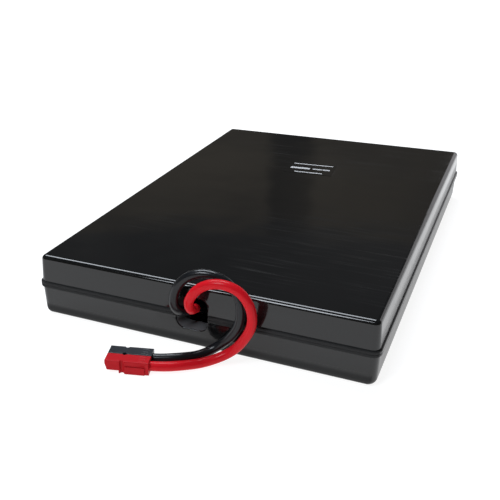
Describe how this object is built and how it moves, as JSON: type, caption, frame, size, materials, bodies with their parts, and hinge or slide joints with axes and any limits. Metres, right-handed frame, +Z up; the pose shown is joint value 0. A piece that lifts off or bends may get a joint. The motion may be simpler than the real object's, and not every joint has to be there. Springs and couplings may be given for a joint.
{
  "type": "ups battery cartridge",
  "caption": "Flat black two-part plastic battery case with drafted sides, a bead round the seam, a port in the front face and red and black leads ending in single-pole power connectors.",
  "frame": {"origin": "centre of the case's bottom face, on the surface it lies on", "axes": "+X to the right seen from the front, front face with the lead port towards -Y, +Z up"},
  "size_m": [0.2112, 0.3617, 0.0554],
  "materials": {
    "shell_plastic": "glossy black moulding with faint scuffs",
    "battery_case_plastic": "matt dark grey",
    "battery_lid_plastic": "matt black",
    "cell_lead": "dull lead plates and pale glass mat",
    "tab_metal": "tinned brass",
    "link_metal": "nickel-plated strip",
    "foam": "closed-cell foam",
    "tape": "foam mounting tape",
    "vent_plastic": "satin black",
    "red_insulation": "soft red insulation",
    "black_insulation": "soft black insulation",
    "red_housing_plastic": "satin red",
    "black_housing_plastic": "satin black",
    "contact_metal": "silver-plated copper",
    "spring_steel": "stainless spring strip",
    "label_film": "black film with plain pale bars"
  },
  "bodies": {
    "root": {"battery_case_back_left": "battery_case_plastic", "battery_case_back_right": "battery_case_plastic", "battery_case_front_left": "battery_case_plastic", "battery_case_front_right": "battery_case_plastic", "battery_lid_back_left": "battery_lid_plastic", "battery_lid_back_right": "battery_lid_plastic", "battery_lid_front_left": "battery_lid_plastic", "battery_lid_front_right": "battery_lid_plastic", "black_contact": "contact_metal", "black_housing": "black_housing_plastic", "black_lead": "black_insulation", "black_spring": "spring_steel", "cell_groups": "cell_lead", "foam_pad_left": "foam", "foam_pad_right": "foam", "lead_receptacles": "tab_metal", "link_back": "link_metal", "link_left": "link_metal", "link_right": "link_metal", "lower_shell": "shell_plastic", "mounting_tape": "tape", "red_contact": "contact_metal", "red_housing": "red_housing_plastic", "red_lead": "red_insulation", "red_spring": "spring_steel", "retaining_pin": "spring_steel", "terminal_tabs": "tab_metal", "top_label": "label_film", "upper_shell": "shell_plastic", "vent_covers": "vent_plastic"}
  },
  "joints": []
}
